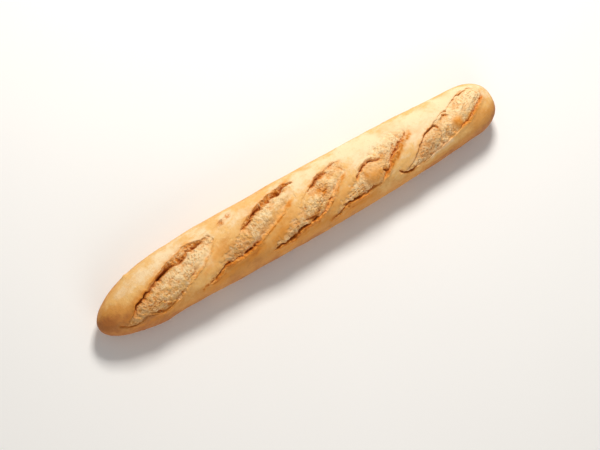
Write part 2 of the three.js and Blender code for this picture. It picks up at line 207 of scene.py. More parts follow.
    {"start": (110, 47), "end": (240, -22), "seed": 47, "lumps": 0.8, "grain": 0.9,
     "far": (0, 3.5, 2.5, 1, -2.5, -5.8, -7.8, -10.2, -11.2, -11, -12, -12, -11.5, -12, -13.8, -14.8, -15.8,
      -15.8, -14, -13, -10),
     "near": (5, 9, 11, 12.5, 15, 16.5, 17.5, 18, 18, 18.2, 18.5, 18.5, 18.5, 18.5, 18.2, 16.5, 14.5, 13,
      11.5, 10, 5),
     "face": (0, 0.5, 0.8, 0.8, 0.6, 0.2, 0.3, 0.6, 0.6, 0.6, 0),
     "ear": (0.2, 0.6, 1, 1.3, 1.3, 0.8, 0.6, 0.5, 0.8, 0.6, 0),
     "gap": (0, 0.3, 0.9, 1.2, 1.6, 1.6, 2, 2.4, 2.8, 2.2, 0.6, 0.6, 1, 0.4, 0.8, 1, 1.3, 1.8, 0.9, 0.7,
      0.3),
     "lip": (0.4, 1, 0.7, 0.5, 0.5, 0.6, 0.8, 1.2, 1.2, 0.9, 0),
     "seam": (0.6, 2.6, 2.4, 0.4, 0.05, 0.2, 0.5, 0.05, 0.2, 0.1, 0.2, 0.1, 0.2, 0.6, 1.2, 1.2, 1.2, 1.3,
      1.3, 1.1, 0.4),
     "rise": (0, 0.4, 1.2, 1.8, 2.2, 2.2, 2.2, 2.8, 3, 2.2, 0),
     "folds": [(2.6, 1, 0.5, (0, -6, 1.2, 0, 2.2, 5, 5, 9.5, 9, 10.8, 14, 11)),
      (2.2, 0.65, 0.6, (44, -10.8, 46.3, -9.8, 47.5, -7.5, 47.7, -4.5, 46.6, -1.5)),
      (1, 0.8, 0.4, (47.2, -3, 46, 1, 44.7, 5, 43, 8, 39, 11)), (1.1, 0.9, 0.3, (28, 11.5, 29.5, 17.5)),
      (1.1, 0.9, 0.3, (35.2, 13, 35, 18.5)), (1.1, 0.9, 0.3, (42.2, 13, 42, 18.5)),
      (1.1, 0.9, 0.3, (50, 12.5, 49.7, 19)), (1.1, 0.9, 0.3, (56, 13, 55.2, 18.5)),
      (1.6, 1.2, 0, (43, 6, 45, 6.5)), (1.4, 1.1, 0, (35.5, 11, 38, 11.5)),
      (2.4, 0.85, 0.8, (52, -6.5, 55.5, -8.5, 58, -9, 59.7, -6.5, 60.2, -2.5)),
      (1.2, 0.8, 0.3, (61, -11.5, 63.5, -9.5)), (0.9, 1.5, 0.5, (26.5, 13.5, 30, 15, 33, 14)),
      (1.1, 1.1, 0.2, (74.5, 3, 77.5, 5, 79, 3)), (1.8, 1, 0.2, (82, -15, 85, -17, 88, -15.5)),
      (0.8, 1, 0.2, (53, 1, 55, 4, 53, 8))],
     "mounds": [(38, -1, 7, 7, 1.6), (24, 6, 6, 5, 1), (53, 3, 4, 7, 1.8), (62, 10, 3, 6, 1.6),
      (71, 0, 5, 7, 1.6), (80, 6, 5, 5, 1.3), (87, -7, 5, 6, 1.5), (66, -8, 3, 3, 0.8), (93, 2, 3, 4, 0.8),
      (21, 13.5, 1.4, 2.2, 1), (26.2, 14.5, 1.6, 2.4, 1.1), (32.5, 15, 1.5, 2.4, 1.1),
      (38.8, 15.3, 1.7, 2.6, 1.2), (45.8, 15.6, 1.6, 2.6, 1.2), (53, 15.8, 1.6, 2.6, 1.1),
      (62.5, 13, 2, 4, 1.4)],
     "tints": [(62.2, 10.5, 4.5, 9, 1, 0, 0.9), (29, 14.5, 3.5, 3, 0.9, 0.05, 0.4),
      (20, 12.5, 3, 3, 0.5, 0.05, 0.2), (44, 5, 3, 3, 0.3, 0.2), (38, 10, 3, 2.5, 0.3, 0.25),
      (58, 14, 4, 3, 0.4, 0.1), (86, 14, 12, 2.5, 0.6), (30, 2, 15, 8, 0, 0.6), (12, 13, 8, 3, 0.5),
      (38, 16, 5, 3, 0.7, 0, 0.4), (46, 17, 5, 3, 0.65, 0, 0.4), (54, 17, 5, 3, 0.7, 0, 0.4),
      (67, 16.5, 5, 2.5, 0.9, 0, 0.3), (76, 14.8, 5, 2.2, 0.8), (30, -5, 10, 2, 0.5, 0.1),
      (45, -1, 4, 8, 0.1, 0.3)],
     "bands": [(0.6, 3.2, (0, 9, 8, 12.5, 20, 15, 30, 16, 45, 17, 62, 17)),
      (0.3, 4.5, (0, 15, 20, 19.5, 50, 21.5, 70, 20)),
      (1.1, 2.6, (58, 17.5, 68, 16.8, 78, 14.5, 88, 12, 97, 9.5))]},
    {"start": (-95, -30), "end": (-71, -46), "seed": 61, "lumps": 0.8, "grain": 1,
     "far": (0, -1, -1.6, -2.4, -3, -2.2, -1.2, -2, -2.6, -1.6, 0),
     "near": (0, 1, 2.2, 2.8, 2.2, 1.4, 1.8, 3, 2.6, 1.2, 0),
     "face": (0, 0, 0.8, 2.2, 2.2, 1.2, 0.6, 1.8, 1.6, 0.4, 0),
     "ear": (0, 0.1, 0.5, 0.8, 0.8, 0.5, 0.4, 0.7, 0.6, 0.3, 0),
     "gap": (0, 0.1, 1.4, 2.3, 1.8, 0.7, 0.7, 1.9, 1.8, 0.7, 0),
     "lip": (0, 0.2, 0.5, 0.6, 0.5, 0.4, 0.5, 0.6, 0.4, 0.2, 0),
     "seam": (0, 0.1, 0.6, 1.1, 0.8, 0.5, 0.7, 1, 0.8, 0.3, 0),
     "rise": (0, 0),
     "folds": [(1, 0.9, 0.5, (-5, 0.5, 10, 1, 25, 1.5)), (1, 0.8, 0.4, (30, 4, 42, 2.6, 55, 1))],
     "mounds": [],
     "tints": [(30, 0, 25, 4, 0.5, 0.05), (78, 0.5, 16, 3.5, 0.5, 0.05)],
     "bands": []},
]

# Strips: stations a millimetre, how far they run on past a slash's ends and how much crust they carry beside
# it, as parts of its length, half the least opening, the guides that lie in the two crevices, the steps from
# each guide to the next, and how near a strip may come to the loaf's tips.
ROWS_PER_MM = 2.5
SLASH_OVERRUN = 0.045
MARGIN_PART = 0.056
SLIT = 0.25
CREVICE_FAR = 8
CREVICE_NEAR = 16
PROFILE_SPANS = (5, 5, 5, 6, 5, 7, 7, 6, 6, 6, 10, 32, 32, 11, 6, 6, 6, 5, 6, 6, 6, 6)
TIP_GAP = 0.3

# How uneven a slash's sizes are along it: the amount, size and seed number of each noise.
PROFILE_NOISES = {"face": [(0.15, 4, 8)], "ear": [(0.25, 9, 4)], "lip": [(0.25, 9, 5)],
                  "gap": [(0.5, 4, 6)], "seam": [(0.7, 5, 7), (0.35, 2.2, 11)], "rise": []}

# Sine, and cosine, of the 45 degrees at which the crumb's fibres run across a slash.
FIBRE_SLANT = 0.7071

# How far the crust sinks under a strip for each millimetre in from its border, over how many millimetres the
# strip's border comes down to meet it, and how far it sinks in the end.
HEM_SLOPE = 0.012
HEM = 4.0
SUNKEN = 9.5

# Patches of the crust that are browner or paler: place along the loaf, angle, half length, half width and
# change.
BAKE_PATCHES = [(230, -28, 30, 34, -0.32), (242, 8, 14, 16, -0.15), (214, -8, 22, 16, -0.2),
                (150, 50, 24, 14, -0.34), (118, 30, 14, 10, 0.16), (77, -8, 12, 12, -0.16),
                (-98, 16, 12, 10, 0.2), (-204, -24, 24, 26, -0.26), (-212, 33, 24, 22, 0.46),
                (-243, 0, 10, 20, 0.2), (-97, -8, 14, 22, 0.16), (-78, 42, 17, 18, 0.3),
                (-32, 40, 16, 20, 0.24), (54, 0, 12, 32, 0.12), (48, 54, 18, 14, 0.2),
                (-98, 64, 30, 10, 0.15), (174, 78, 30, 13, 0.26), (172, 50, 16, 10, -0.2),
                (-140, 5, 26, 14, -0.2)]

# Knobs on the crust, and hollows where the height is negative: place along the loaf, angle, radius and
# height.
KNOBS = [(-201, -64, 3.5, 2), (-188, 84, 10, 1.2), (66, -66, 5, 0.9), (150, 60, 14, -0.8),
         (-70, 70, 16, -0.6)]


def blend(low, high, part):
    """low + (high - low) times part."""
    return low + (high - low) * part


def smooth_step(low, high, value):
    """0 below low, 1 above high, and 3t^2 - 2t^3 of the part t between them."""
    part = np.clip((value - low) / (high - low), 0.0, 1.0)
    return part * part * (3.0 - 2.0 * part)


def signed_power(value, power):
    """The power of the size of a value, with the value's sign."""
    return np.sign(value) * np.abs(value) ** power


def bell(value):
    """e^-(value^2): 1 at zero, falling to nothing on either side."""
    return np.exp(-value ** 2)


def fade_ends(part, full, none=0.0):
    """Product of the smooth steps of a part and of 1 minus it: nothing at both ends, and 1 between."""
    return smooth_step(none, full, part) * smooth_step(none, full, 1.0 - part)


# ---- noise ----

def lattice_number(i, j, k, seed):
    """A fixed random number from -1 to 1 for each whole-number place, by mixing the bits of its products."""
    mixed = (i * 374761393 + j * 668265263 + k * 1440662683 + seed * 974634777) & 0xFFFFFFFF
    mixed = ((mixed ^ (mixed >> 13)) * 1274126177) & 0xFFFFFFFF
    mixed = mixed ^ (mixed >> 16)
    return mixed / 2147483648.0 - 1.0


def noise(place, size, seed):
    """Smooth noise from -1 to 1 with lumps of the given size: lattice numbers blended in three directions
    by 6t^5 - 15t^4 + 10t^3."""
    scaled = np.asarray(place) / size
    low = np.floor(scaled)
    part = scaled - low
    part = part ** 3 * (part * (part * 6.0 - 15.0) + 10.0)
    i, j, k = (low[..., axis].astype(np.int64) for axis in range(3))
    u, v, w = (part[..., axis] for axis in range(3))
    rows = []
    for dj in (0, 1):
        for dk in (0, 1):
            near = lattice_number(i, j + dj, k + dk, seed)
            far = lattice_number(i + 1, j + dj, k + dk, seed)
            rows.append(blend(near, far, u))
    return blend(blend(rows[0], rows[1], w), blend(rows[2], rows[3], w), v)


def layered_noise(place, size, seed, layers=3):
    """Noise plus half as much at half the size, and so on."""
    total = np.zeros(np.asarray(place).shape[:-1])
    for layer in range(layers):
        total += noise(place, size / 2 ** layer, seed + layer * 101) / 2 ** layer
    return total


def noises(place, seed, *layers):
    """Sum of noises, each an amount and a size, with one seed after the other."""
    return sum(amount * noise(place, size, seed + i) for i, (amount, size) in enumerate(layers))


def line_noises(distance, first_seed, *layers):
    """Sum of noises along one direction, each an amount, a size and a number for its seed."""
    nothing = 0.0 * distance
    total = nothing
    for amount, size, number in layers:
        seed = first_seed + number
        total = total + amount * noise(np.stack([distance, nothing + 7.3 * seed, nothing], -1), size, seed)
    return total


def patches(place, size, seed, low, high):
    """Smooth step of a noise from low to high: 0 in some patches and 1 in others."""
    return smooth_step(low, high, noise(place, size, seed))


def cell_distance(across, along, size, seed):
    """Distance, in cells, to the nearest of one random point in each square cell of the given size."""
    i = np.floor(across / size).astype(np.int64)
    j = np.floor(along / size).astype(np.int64)
    nearest = np.full(across.shape, FAR_AWAY)
    for di in (-1, 0, 1):
        for dj in (-1, 0, 1):
            x = i + di + 0.5 + 0.45 * lattice_number(i + di, j + dj, 0 * i, seed)
            y = j + dj + 0.5 + 0.45 * lattice_number(i + di, j + dj, 0 * i + 1, seed)
            nearest = np.minimum(nearest, np.hypot(across / size - x, along / size - y))
    return nearest


# ---- the body ----

def end_rounding(distance, end):
    """(1 - (1 - d / length)^bluntness)^(1 / bluntness): 0 at the tip and 1 where the full body begins."""
    part = np.clip(distance / end["length"], 0.0, 1.0)
    return (1.0 - (1.0 - part) ** end["bluntness"]) ** (1.0 / end["bluntness"])


def taper(x, fullest_at, loss):
    """1 minus the end's loss times the square of the distance from the fullest place, in half lengths."""
    offset = (x - fullest_at) / (LENGTH / 2)
    return 1.0 - np.where(offset < 0, LEFT_END[loss], RIGHT_END[loss]) * offset ** 2


def bend_at(x, end, tip):
    """Sideways shift: the end's bend times a power of the part of the way from its start to the tip."""
    part = np.clip((x - end["bend_start"]) / (tip - end["bend_start"]), 0.0, None)
    return end["bend"] * part ** end["bend_power"]


def body_point(x, angle):
    """Superellipse sections: y = middle - a sin^(2/n), z = side height + b cos^(2/n), with a and b tapered
    and rounded off at the ends, and a larger n below the sides."""
    rounding = end_rounding(LENGTH / 2 + x, LEFT_END) * end_rounding(LENGTH / 2 - x, RIGHT_END)
    half_width = HALF_WIDTH * taper(x, WIDEST_AT, "narrowing") * rounding
    rise = (HEIGHT * taper(x, HIGHEST_AT, "lowering") - SIDE_HEIGHT) * rounding
    upper = np.cos(angle) >= 0
    power = np.where(upper, 2.0 / TOP_ROUNDNESS, 2.0 / BOTTOM_ROUNDNESS)
    middle = bend_at(x, LEFT_END, -LENGTH / 2) + bend_at(x, RIGHT_END, LENGTH / 2)
    y = middle - half_width * signed_power(np.sin(angle), power)
    lift = signed_power(np.cos(angle), power) * np.where(upper, rise, BELOW_SIDE * rounding)
    return np.stack([x + 0.0 * angle, y, SIDE_HEIGHT + lift], -1)


def body_normal(x, angle):
    """Cross product of small steps round the body and along it, pointing out."""
    step = 0.01
    along = body_point(x + step, angle) - body_point(x - step, angle)
    around = body_point(x, angle + step) - body_point(x, angle - step)
    normal = np.cross(around, along)
    return normal / np.maximum(np.linalg.norm(normal, axis=-1, keepdims=True), 1e-12)


def relief(place):
    """Unevenness of the crust, along its normal: broad swells, gentle dents, small blisters where a fine
    noise passes a limit, and the knobs, e^-(d / radius)^2 high."""
    swells = 0.9 * layered_noise(place, 46.0, 5, 2)
    dents = 0.22 * noise(place, 13.0, 9)
    blisters = 0.55 * np.clip(noise(place, 5.5, 17) - 0.45, 0.0, None)
    grain = 0.05 * noise(place, 2.2, 19)
    knobs = np.zeros(place.shape[:-1])
    for x, angle, radius, height in KNOBS:
        middle = body_point(np.array(float(x)), np.array(math.radians(angle)))
        knobs += height * bell(np.linalg.norm(place - middle, axis=-1) / radius)
    return swells + dents + blisters + grain + knobs


def lie_flat(points):
    """z below the flat bottom's edge is pressed up towards zero: z = edge times e^(z / edge - 1)."""
    z = points[..., 2]
    pressed = FLAT_BOTTOM_EDGE * np.exp(np.minimum(z / FLAT_BOTTOM_EDGE - 1.0, 0.0))
    points[..., 2] = np.where(z < FLAT_BOTTOM_EDGE, pressed, z)
    return points


# ---- slashes ----

def list_at(values, along):
    """Smooth curve through evenly spaced values: Hermite pieces with central-difference slopes."""
    values = np.asarray(values, dtype=float)
    last = len(values) - 1
    position = np.clip(along, 0.0, 1.0) * last
    i = np.minimum(position.astype(int), last - 1)
    t = position - i
    slopes = np.gradient(values)
    return (values[i] * (2 * t ** 3 - 3 * t ** 2 + 1) + slopes[i] * (t ** 3 - 2 * t ** 2 + t)
            + values[i + 1] * (3 * t ** 2 - 2 * t ** 3) + slopes[i + 1] * (t ** 3 - t ** 2))


def slash_frame(slash):
    """Start place, run and turn to the end, and length, on the body's surface rolled out flat."""
    x, angle = slash["start"]
    end_x, end_angle = slash["end"]
    turn = math.radians(end_angle - angle) * HALF_WIDTH
    return x, math.radians(angle) * HALF_WIDTH, end_x - x, turn, math.hypot(end_x - x, turn)


def slash_place(slash, along, across):
    """Place along the loaf and angle round it, from the part of the way along a slash and the distance
    across it."""
    x, y, run, turn, size = slash_frame(slash)
    place = x + run * along - across * turn / size
    furthest = LENGTH / 2 - TIP_GAP
    return np.clip(place, -furthest, furthest), (y + turn * along + across * run / size) / HALF_WIDTH


def slash_coordinates(slash, place, angle):
    """The inverse: part of the way along the slash, and distance across it."""
    x, y, run, turn, size = slash_frame(slash)
    dx = place - x
    dy = angle * HALF_WIDTH - y
    return (dx * run + dy * turn) / size ** 2, (dy * run - dx * turn) / size


def margin_at(slash, along):
    """Width of the crust that a slash's strip carries beside its opening: a part of its length, and
    narrower past the ends."""
    beyond = np.maximum(-along, along - 1.0) / SLASH_OVERRUN
    return MARGIN_PART * slash_frame(slash)[4] * (1.0 - 0.45 * smooth_step(-1.0, 1.0, beyond))


def strip_inset(slash, place, angle):
    """Distance in from the border of a slash's strip: the least of those to its four sides."""
    along, across = slash_coordinates(slash, place, angle)
    size = slash_frame(slash)[4]
    margin = margin_at(slash, along)
    sides = [across - list_at(slash["far"], along) + SLIT + margin,
             list_at(slash["near"], along) + SLIT + margin - across,
             (along + SLASH_OVERRUN) * size, (1.0 + SLASH_OVERRUN - along) * size]
    return np.minimum.reduce(sides)


def strip_profile(slash, along):
    """Section across a slash at each station, as 23 guide places (across, height) from the outer border
    over the ear, down its torn face to the crevice, over the crumb, down the seam and up the lip to the
    other border."""
    size = slash_frame(slash)[4]
    distance = along * size
    open_part = fade_ends(along, 0.08)
    seed = slash["seed"]
    far, near = list_at(slash["far"], along), list_at(slash["near"], along)
    face, ear, lip, gap, seam, rise = (
        list_at(slash[key], along) * open_part * (1.0 + line_noises(distance, seed, *layers))
        for key, layers in PROFILE_NOISES.items())
    margin = margin_at(slash, along)
    border_far = far - SLIT - margin
    border_near = near + SLIT + margin
    ragged_far = line_noises(distance, seed, (0.9, 8.0, 0), (0.7, 3.0, 1), (0.35, 1.7, 9))
    ragged_near = line_noises(distance, seed, (1.0, 8.0, 2), (0.6, 3.0, 3), (0.4, 1.7, 10))
    closing = 0.5 * (far + near)
    far = blend(closing, far, open_part) - SLIT + ragged_far * open_part
    near = blend(closing, near, open_part) + SLIT + ragged_near * open_part
    near = np.maximum(near, far + 2 * SLIT)
    crevice = np.minimum(far + face, near - SLIT)
    width = near - crevice
    tight = np.clip(width / 10.5, 0.03, 1.0)
    far_tuck = smooth_step(0.2, 2.0, gap + 0.5 * face)
    near_tuck = smooth_step(0.2, 2.0, seam)
    slack = tight * (1.0 - far_tuck)
    reach = 0.5 * ear * tight * np.clip(1.0 - face / 3.0, 0.0, 1.0)
    guides = [
        (border_far, 0.0 * ear),
        (blend(border_far, far, 0.3), 0.03 * ear),
        (blend(border_far, far, 0.62), 0.3 * ear),
        (blend(border_far, far, 0.86), 0.78 * ear),
        (far - 0.1 * tight, 1.12 * ear),
        (far + reach + 0.12 * face + 0.15 * slack, 0.7 * ear),
        (far + 0.9 * reach + 0.5 * face + 0.35 * slack, 0.2 * ear - 0.3 * gap),
        (crevice + blend(0.55, -0.5, far_tuck) * tight - 0.1 * face, -0.6 * gap),
        (crevice + blend(0.8, -0.1, far_tuck) * tight, -1.05 * gap),
        (crevice + 1.1 * tight, -1.0 * gap),
        (crevice + 2.4 * tight, -0.4 * gap),
        (crevice + 0.29 * width, 0.68 * rise),
        (crevice + 0.5 * width, 1.1 * rise),
        (crevice + 0.71 * width, 0.68 * rise),
        (near - 2.8 * tight, -0.25 * seam),
        (near - 1.7 * tight, -0.95 * seam),
        (near - 0.6 * tight, -1.15 * seam),
        (near + blend(-0.15, 0.1, near_tuck) * tight, -0.4 * seam),
        (near + blend(0.15, -0.1, near_tuck) * tight, 0.6 * lip),
        (near + 0.6 * tight, 1.15 * lip),
        (blend(near, border_near, 0.34), 0.8 * lip),
        (blend(near, border_near, 0.68), 0.1 * lip),
        (border_near, 0.0 * lip),
    ]
    return np.array([place for place, _ in guides]), np.array([height for _, height in guides])


def profile_positions():
    """Positions along the guides: so many even steps in each span."""
    steps = [i + np.arange(count) / count for i, count in enumerate(PROFILE_SPANS)]
    return np.concatenate(steps + [[float(len(PROFILE_SPANS))]])


def span(positions, start, full, fade, end):
    """1 from one guide to another, and falling evenly to 0 at the guides outside them, as a row."""
    return np.interp(positions, (start, full, fade, end), (0, 1, 1, 0))[None, :]


def guided_curve(guides, positions):
    """Uniform cubic B-spline of the guides, with its end guides mirrored so that it starts and ends there."""
    padded = np.concatenate([[2 * guides[0] - guides[1]], guides, [2 * guides[-1] - guides[-2]]])
    i = np.minimum(positions.astype(int), len(guides) - 2)
    t = (positions - i)[:, None]
    weights = ((1 - t) ** 3, 3 * t ** 3 - 6 * t ** 2 + 4, -3 * t ** 3 + 3 * t ** 2 + 3 * t + 1, t ** 3)
    return sum(weight * padded[i + step] for step, weight in enumerate(weights)) / 6.0


def crumb_texture(slash, across, distance, place):
    """Height of the torn crumb: noise as its lumps, noise drawn out slantwise as its fibres, and hollows
    near the middles of the cells that stand for bubbles and pores, deeper in patches."""
    seed = slash["seed"]
    lumps = slash["lumps"] * layered_noise(place, 9.0, seed + 40, 2) + 0.55 * noise(place, 3.4, seed + 45)
    slant, reach = (distance - across) * FIBRE_SLANT, (distance + across) * FIBRE_SLANT
    fibres = 0.2 * noise(np.stack([slant / 1.6, reach / 8.0, 0 * slant], -1), 1.0, seed + 50)
    bubbles = -0.95 * smooth_step(0.45, 0.1, cell_distance(across, distance, 3.6, seed + 60))
    pores = -0.36 * smooth_step(0.5, 0.15, cell_distance(across, distance, 1.7, seed + 70))
    patchy = patches(place, 12.0, seed + 80, -0.2, 0.55)
    return lumps + slash["grain"] * (fibres + bubbles * (0.35 + 0.65 * patchy) + pores * (0.4 + 0.6 * patchy))


def torn_roughness(slash, across, distance, place):
    """Height of a torn side: grains that stand up near the middles of their cells, out of coarser noise."""
    seed = slash["seed"]
    grains = smooth_step(0.7, 0.15, cell_distance(across, distance, 2.7, seed + 20))
    return noises(place, seed + 21, (0.8, 4.4), (0.5, 1.7)) + 1.1 * grains - 0.5


def line_distance(slash, along, across, line):
    """Distance to a line of places on a slash, positive on the line's near side, and the part of the way
    along the line."""
    scale = slash_frame(slash)[4] / 100.0
    signed = np.full(along.shape, FAR_AWAY)
    part = np.zeros(along.shape)
    places = list(zip(line[::2], line[1::2]))
    for number, ((v0, w0), (v1, w1)) in enumerate(zip(places, places[1:])):
        run, turn = (v1 - v0) * scale, w1 - w0
        dx, dy = (100.0 * along - v0) * scale, across - w0
        t = np.clip((dx * run + dy * turn) / (run * run + turn * turn), 0.0, 1.0)
        gap = np.hypot(dx - t * run, dy - t * turn)
        closer = gap < np.abs(signed)
        signed = np.where(closer, np.where(dy * run - dx * turn >= 0, gap, -gap), signed)
        part = np.where(closer, (number + t) / (len(places) - 1), part)
    return signed, part


def spot_distance(along, across, v, w, half_length, half_width):
    """Square of the distance from a place on a slash, in its half sizes."""
    return ((100.0 * along - v) / half_length) ** 2 + ((across - w) / half_width) ** 2


def folded(slash, along, across, place):
    """Height of a slash's folds and how toasted they are, which beside a crease is partly painted shade: a
    crease e^-(d / width)^1.5 deep, uneven along its line, with a swell beside it, fading out at the line's
    ends."""
    height = np.zeros(along.shape)
    toast_and_shade = np.zeros(along.shape)
    shift = noises(place, slash["seed"] + 90, (0.8, 5.0), (0.75, 2.3))
    uneven = 1.0 + 0.5 * noise(place, 4.5, slash["seed"] + 92)
    varied = 1.0 + 0.4 * noise(place, 3.4, slash["seed"] + 93)
    for depth, width, swell, line in slash["folds"]:
        distance, part = line_distance(slash, along, across + shift, line)
        strength = fade_ends(part, 0.22) * uneven
        crease = np.exp(-(np.abs(distance) / (width * varied)) ** 1.5) * strength
        beside = bell((distance + 2.2 * width) / (1.6 * width)) * strength
        height += -depth * crease + swell * beside
        # Beside a crease the toast is partly painted shade; along a ridge it is browning.
        if depth > 0:
            crease_toast_and_shade = bell(distance / (2.2 * width)) * strength
            toast_and_shade = np.maximum(toast_and_shade, 0.75 * crease_toast_and_shade * min(depth / 2.4, 1.0))
        else:
            toast_and_shade = np.maximum(toast_and_shade, 0.45 * crease)
    return height, toast_and_shade


def mounded(slash, along, across, place):
    """Height of a slash's mounds: height times e^-(a^2 + b^2) of the distances from a mound's middle, in
    its half sizes, with its outline made uneven."""
    shift = noise(place, 6.0, slash["seed"] + 97)
    total = np.zeros(along.shape)
    for *spot, height in slash["mounds"]:
        total += height * np.exp(-spot_distance(along, across, *spot) * (1.0 + 0.5 * shift))
    return total


def tinted(place, angle, points):
    """How toasted, how darkened by painted shade and how skinned over the loaf is at the slashes' tints:
    e^-(a^2 + b^2) of the distances from a tint's middle, in its half sizes, with its outline made uneven."""
    amounts = np.zeros((3,) + np.shape(place))
    wander = noises(points, 151, (1.8, 6.0), (0.9, 2.6))
    drift = noises(points, 153, (1.8, 6.0), (0.9, 2.6))
    for slash in SLASHES:
        along, across = slash_coordinates(slash, place, angle)
        along, across = along + drift / slash_frame(slash)[4], across + wander
        for tint in slash["tints"]:
            spot = np.exp(-spot_distance(along, across, *tint[:4]))
            for amount, strength in zip(amounts, tint[4:]):
                np.maximum(amount, strength * spot, out=amount)
    return amounts


def banded(place, angle, points):
    """Toast of the slashes' bands: e^-(d / half width)^2 of the distance from a band's line, broken up by
    noise and fading out at its ends."""
    total = np.zeros(np.shape(place))
    wander = noises(points, 141, (1.2, 5.0), (0.5, 2.2))
    patchy = 0.5 + 0.55 * smooth_step(-0.7, 0.6, layered_noise(points, 4.4, 143, 2))
    for slash in SLASHES:
        along, across = slash_coordinates(slash, place, angle)
        for toast_and_shade, half_width, line in slash["bands"]:
            distance, part = line_distance(slash, along, across + wander, line)
            total = np.maximum(total, toast_and_shade * patchy * fade_ends(part, 0.15) * bell(distance / half_width))
    return total


def glow(place, angle, points):
    """Golden browning of the crust beside each slash: e^(-d / 3.5) or e^(-d / 5) of the distance d beyond
    its far or near edge, by the height of the edge, broken up by noise."""
    total = np.zeros(np.shape(place))
    patchy = 0.55 + 0.6 * patches(points, 4.0, 131, -0.4, 0.5)
    for slash in SLASHES:
        along, across = slash_coordinates(slash, place, angle)
        inside = fade_ends(along, 0.05, -0.04)
        for edge, outward, height, reach in (("far", -1.0, "ear", 3.5), ("near", 1.0, "lip", 5.0)):
            beyond = outward * (across - list_at(slash[edge], along))
            browned_and_shaded = np.where(beyond > 0, np.exp(-np.abs(beyond) / reach), 0.0)
            total = np.maximum(total, inside * browned_and_shaded * list_at(slash[height], along) / 2.0)
    return np.clip(total * patchy, 0.0, 1.0)


def coloured(place, angle, points):
    """Toast, painted shade and skin of the loaf: those of the tints, with the bands' toast or 0.75 of the
    glow where that is more."""
    toast_and_shade, painted_shade, skin = tinted(place, angle, points)
    toast_and_shade = np.maximum.reduce([toast_and_shade, 0.75 * glow(place, angle, points), banded(place, angle, points)])
    return toast_and_shade, painted_shade, skin


def crust_sink(inset):
    """How far the crust sinks under a strip: a hair at its border, then down below the crevices."""
    return HEM_SLOPE * np.clip(inset, 0.0, None) + SUNKEN * smooth_step(2.0, 8.0, inset)


def bake_and_shade_amount(place, angle, points, normals):
    """How brown the crust is, from 0 to 1, with painted shade in it: a sum of smooth steps towards the
    underside and the near side, partly browning and partly painted shade, the left and the tips, each patch's
    change times e^-(a^2 + b^2) of the distances from its middle in its half sizes, and a broad noise."""
    # Darker towards the underside and the near side: partly browning, partly painted shade.
    low = smooth_step(1.0, -0.3, normals[..., 2])
    near_side_browning_and_shade = smooth_step(-0.7, 0.7, -normals[..., 1])
    reach = points[..., 0] / (LENGTH / 2)
    tips = smooth_step(0.7, 1.0, np.abs(reach))
    left = smooth_step(0.5, -0.9, reach)
    total = 0.5 * low + 0.4 * near_side_browning_and_shade + 0.2 * left + 0.38 * tips - 0.05
    for x, patch_angle, half_length, half_width, amount in BAKE_PATCHES:
        turn = (angle - math.radians(patch_angle)) * HALF_WIDTH
        total = total + amount * bell((place - x) / half_length) * bell(turn / half_width)
    return np.clip(total + 0.16 * layered_noise(points, 38.0, 71, 3), 0.0, 1.0)


# ---- meshes ----

def grid_faces(rows, columns, closed):
    """Quads of a grid of points, row by row, joined round when closed."""
    row = np.arange(rows - 1)[:, None]
    column = np.arange(columns if closed else columns - 1)[None, :]
    beside = (column + 1) % columns
    corners = [row * columns + column, row * columns + beside,
               (row + 1) * columns + beside, (row + 1) * columns + column]
    return np.stack(corners, -1).reshape(-1, 4)


def fan_faces(ring, hub, flip):
    """Triangles from a ring of points to a hub."""
    beside = np.roll(ring, -1)
    pair = (beside, ring) if flip else (ring, beside)
    return np.stack([*pair, np.full(len(ring), hub)], -1)


def add_object(name, data):
    """A new object of the scene, at the origin."""
    thing = bpy.data.objects.new(name, data)
    bpy.context.scene.collection.objects.link(thing)
    return thing


def make_piece(name, points, faces, attributes, material):
    """A smooth mesh object from points in millimetres, faces of point numbers, and one number a point for
    each attribute."""
    mesh = bpy.data.meshes.new(name)
    mesh.from_pydata((points.reshape(-1, 3) * MM).tolist(), [], faces)
    for key, values in attributes.items():
        layer = mesh.attributes.new(key, "FLOAT", "POINT")
        layer.data.foreach_set("value", np.ravel(values).astype(np.float32))
    mesh.shade_smooth()
    mesh.materials.append(material)
    piece = add_object(name, mesh)
    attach(piece, "root")
    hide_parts("loaf")


def make_crust(material):
    """The closed body: rings crowded towards the tips, each moved out by the relief and sunk under the
    strips, with a hub at either tip."""
    even = np.arange(1, RINGS) / RINGS
    crowded = (1.0 - np.cos(np.pi * even)) / 2.0
    x = LENGTH * (blend(even, crowded, END_CROWDING) - 0.5)
    angle = np.arange(RING_POINTS) * 2.0 * np.pi / RING_POINTS
    angle = np.where(angle > np.pi, angle - 2.0 * np.pi, angle)
    place, turned = np.meshgrid(x, angle, indexing="ij")
    base = body_point(place, turned)
    normal = body_normal(place, turned)
    height = relief(base)
    for slash in SLASHES:
        height = height - crust_sink(strip_inset(slash, place, turned))
    points = lie_flat(base + normal * height[..., None])
    tips = body_point(np.array([-LENGTH / 2, LENGTH / 2]), np.array([0.0, 0.0]))
    count = points.shape[0] * RING_POINTS
    ring = np.arange(RING_POINTS)
    faces = grid_faces(RINGS - 1, RING_POINTS, True).tolist()
    faces += fan_faces(ring, count, True).tolist()
    faces += fan_faces(ring + count - RING_POINTS, count + 1, False).tolist()
    every = np.concatenate([points.reshape(-1, 3), tips])
    toast_and_shade, painted_shade, _ = coloured(place, turned, base)
    nothing = np.zeros(len(every))
    attributes = {"bake_and_shade": np.append(bake_and_shade_amount(place, turned, base, normal), [1.0, 1.0]), "crumb": nothing,
                  "toast_and_shade": np.append(toast_and_shade, [0.0, 0.0]), "recess_shade": nothing, "painted_shade": np.append(painted_shade, [0.0, 0.0])}
    make_piece("crust", every, faces, attributes, material)


